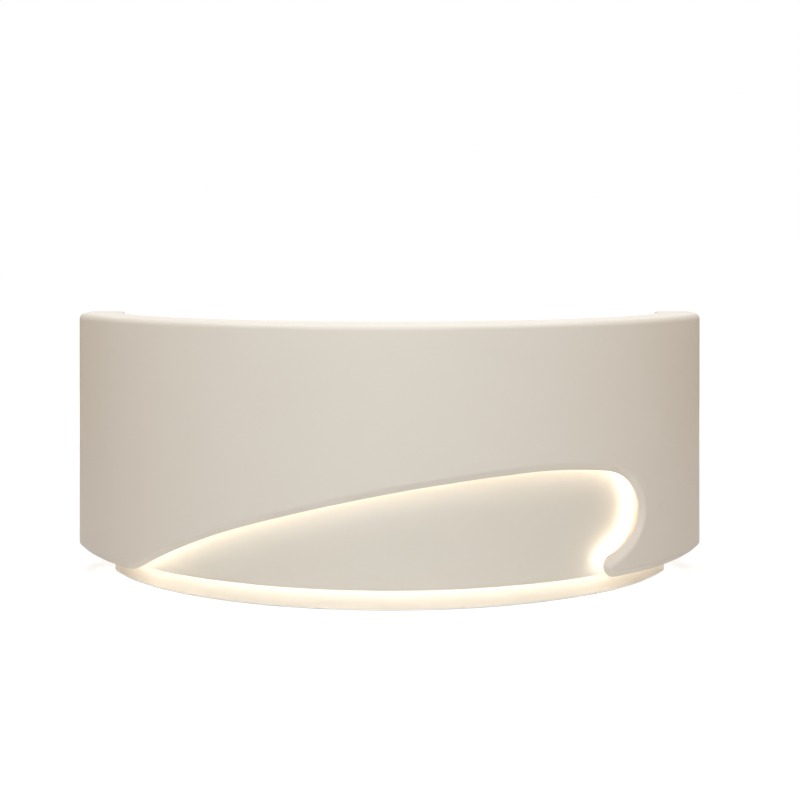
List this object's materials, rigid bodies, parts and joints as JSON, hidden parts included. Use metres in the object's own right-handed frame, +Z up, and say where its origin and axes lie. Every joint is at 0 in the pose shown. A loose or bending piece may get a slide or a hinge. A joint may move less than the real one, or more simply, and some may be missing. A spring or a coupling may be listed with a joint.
{
  "type": "checkout counter",
  "caption": "Curved checkout counter with a wave-shaped lit cut-out, recessed plinth, transaction rim, and an operator side with worktop, drawers, keyboard tray and cupboard.",
  "frame": {"origin": "on the floor under the middle of the bounding box", "axes": "+Z up, +X along the width to the right as a customer sees it, the customer's side faces -Y and the operator's side +Y"},
  "size_m": [2.4, 0.705, 1],
  "materials": {
    "cream_lacquer": "satin",
    "panel_lacquer": "satin",
    "plinth_lacquer": "satin",
    "white_board": "satin",
    "plywood": "matte",
    "birch_ply": "satin",
    "hardboard": "matte",
    "worktop_laminate": "matte",
    "anodised_aluminium": "satin",
    "opal_light": "satin",
    "black_plastic": "matte",
    "grey_plastic": "matte",
    "driver_case": "satin",
    "zinc_steel": "satin",
    "nickel": "polished"
  },
  "bodies": {
    "root": {"front_shell": "cream_lacquer", "top_cap": "cream_lacquer", "inner_liner": "white_board", "former_top": "plywood", "former_middle": "plywood", "upper_studs": "plywood", "lower_studs": "plywood", "recess_panel": "panel_lacquer", "end_boards": "white_board", "base_deck": "white_board", "plinth_front": "plinth_lacquer", "plinth_rear_left": "white_board", "plinth_rear_right": "white_board", "levelling_legs": "black_plastic", "led_channel": "anodised_aluminium", "led_diffuser": "opal_light", "plinth_led_channel": "anodised_aluminium", "plinth_led_diffuser": "opal_light", "led_driver": "driver_case", "power_inlet": "black_plastic", "led_leads": "black_plastic", "lead_clips": "black_plastic", "switch_housing": "black_plastic", "worktop": "worktop_laminate", "worktop_cleat": "plywood", "worktop_screws": "zinc_steel", "grommet_rings": "grey_plastic", "drawer_side_outer": "white_board", "drawer_side_inner": "white_board", "drawer_back_panel": "hardboard", "drawer_runner_outer": "zinc_steel", "cupboard_side_inner": "white_board", "cupboard_side_outer": "white_board", "cupboard_back_panel": "hardboard", "cupboard_shelf": "white_board", "shelf_pins": "zinc_steel", "hinge_fixed_leaves": "nickel", "hinge_pins": "nickel", "bay_shelf_left": "white_board", "bay_shelf_right": "white_board", "tray_runner_outer": "zinc_steel", "lock_strike": "zinc_steel"},
    "drawer_1": {"drawer_front_1": "white_board", "drawer_box_1": "birch_ply", "drawer_runner_inner_1": "zinc_steel", "lock_barrel": "nickel"},
    "drawer_2": {"drawer_front_2": "white_board", "drawer_box_2": "birch_ply", "drawer_runner_inner_2": "zinc_steel"},
    "drawer_mid_1": {"drawer_runner_mid_1": "zinc_steel"},
    "drawer_mid_2": {"drawer_runner_mid_2": "zinc_steel"},
    "lock": {"lock_core": "nickel"},
    "tray": {"keyboard_tray": "worktop_laminate", "tray_runner_inner": "zinc_steel"},
    "tray_mid": {"tray_runner_mid": "zinc_steel"},
    "door": {"cupboard_door": "white_board", "hinge_door_leaves": "nickel"},
    "rocker": {"switch_rocker": "black_plastic"},
    "cap_left": {"grommet_cap_left": "grey_plastic"},
    "cap_right": {"grommet_cap_right": "grey_plastic"}
  },
  "joints": [
    {"name": "drawer_1_slide", "type": "slide", "parent": "root", "child": "drawer_1", "axis": [0, 1, 0], "range_m": [0, 0.23]},
    {"name": "drawer_mid_1_slide", "type": "slide", "parent": "root", "child": "drawer_mid_1", "axis": [0, 1, 0], "range_m": [0, 0.115]},
    {"name": "drawer_2_slide", "type": "slide", "parent": "root", "child": "drawer_2", "axis": [0, 1, 0], "range_m": [0, 0.23]},
    {"name": "drawer_mid_2_slide", "type": "slide", "parent": "root", "child": "drawer_mid_2", "axis": [0, 1, 0], "range_m": [0, 0.115]},
    {"name": "lock_turn", "type": "hinge", "parent": "drawer_1", "child": "lock", "pos_m": [-0.52, 0.3228, 0.665], "axis": [0, 1, 0], "range_deg": [0, 90]},
    {"name": "tray_slide", "type": "slide", "parent": "root", "child": "tray", "axis": [0, 1, 0], "range_m": [0, 0.24]},
    {"name": "tray_mid_slide", "type": "slide", "parent": "root", "child": "tray_mid", "axis": [0, 1, 0], "range_m": [0, 0.12]},
    {"name": "door_hinge", "type": "hinge", "parent": "root", "child": "door", "pos_m": [0.7245, 0.3215, 0.4], "axis": [0, 0, -1], "range_deg": [0, 100]},
    {"name": "switch_rock", "type": "hinge", "parent": "root", "child": "rocker", "pos_m": [0, -0.2054, 0.8625], "axis": [1, 0, 0], "range_deg": [-8, 8]},
    {"name": "cap_left_turn", "type": "hinge", "parent": "root", "child": "cap_left", "pos_m": [-0.48, -0.06832, 0.75], "axis": [0, 0, 1], "continuous": true},
    {"name": "cap_right_turn", "type": "hinge", "parent": "root", "child": "cap_right", "pos_m": [0.48, -0.06832, 0.75], "axis": [0, 0, 1], "continuous": true}
  ],
  "couplings": [
    {"joint": "drawer_mid_1_slide", "follows": "drawer_1_slide", "ratio": 0.5},
    {"joint": "drawer_mid_2_slide", "follows": "drawer_2_slide", "ratio": 0.5},
    {"joint": "tray_mid_slide", "follows": "tray_slide", "ratio": 0.5}
  ]
}
